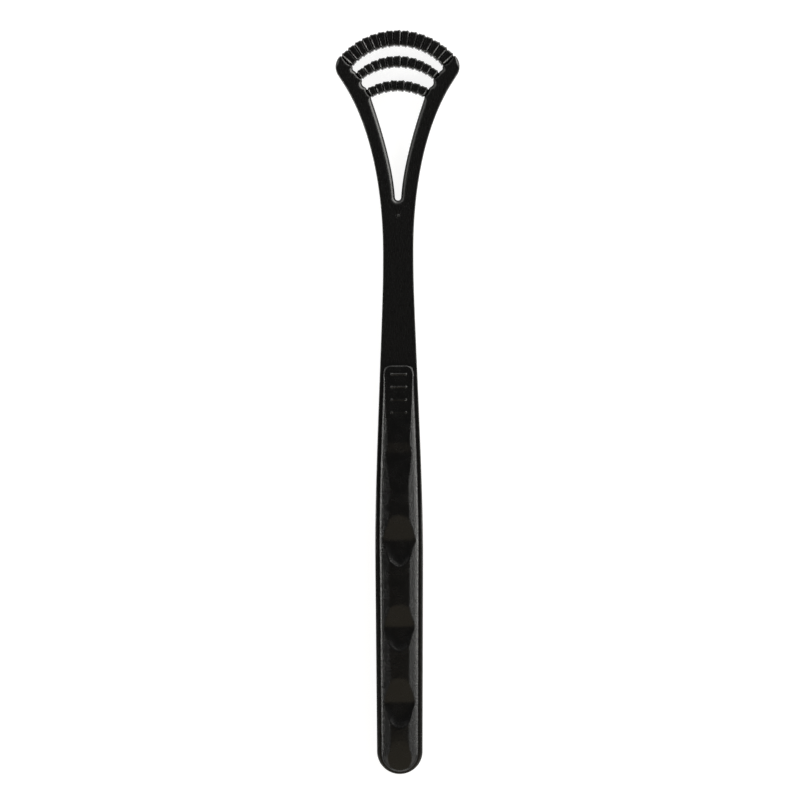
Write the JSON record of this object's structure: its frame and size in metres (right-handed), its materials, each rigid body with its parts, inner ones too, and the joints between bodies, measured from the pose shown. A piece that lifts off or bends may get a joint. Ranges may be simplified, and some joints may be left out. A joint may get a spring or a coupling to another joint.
{
  "type": "tongue scraper",
  "caption": "Slim forked hand tool: a flat frame with a scooped soft grip and three curved, ribbed scraping bars across its head.",
  "frame": {"origin": "centre of the scraper's length and width, at the height of the flat back of its grip", "axes": "+Y along the handle towards the head, +Z out of the front, +X to the right when the front is seen with the head up"},
  "size_m": [0.03, 0.18, 0.0059],
  "materials": {
    "frame_plastic": "smooth black ABS with a satin gloss",
    "grip_rubber": "black thermoplastic elastomer with a fine matt grain",
    "scraper_rubber": "black thermoplastic elastomer, smooth and slightly shiny on its ribs"
  },
  "bodies": {
    "root": {"frame": "frame_plastic", "grip": "grip_rubber", "outer_scraper": "scraper_rubber", "middle_scraper": "scraper_rubber", "inner_scraper": "scraper_rubber"}
  },
  "joints": []
}
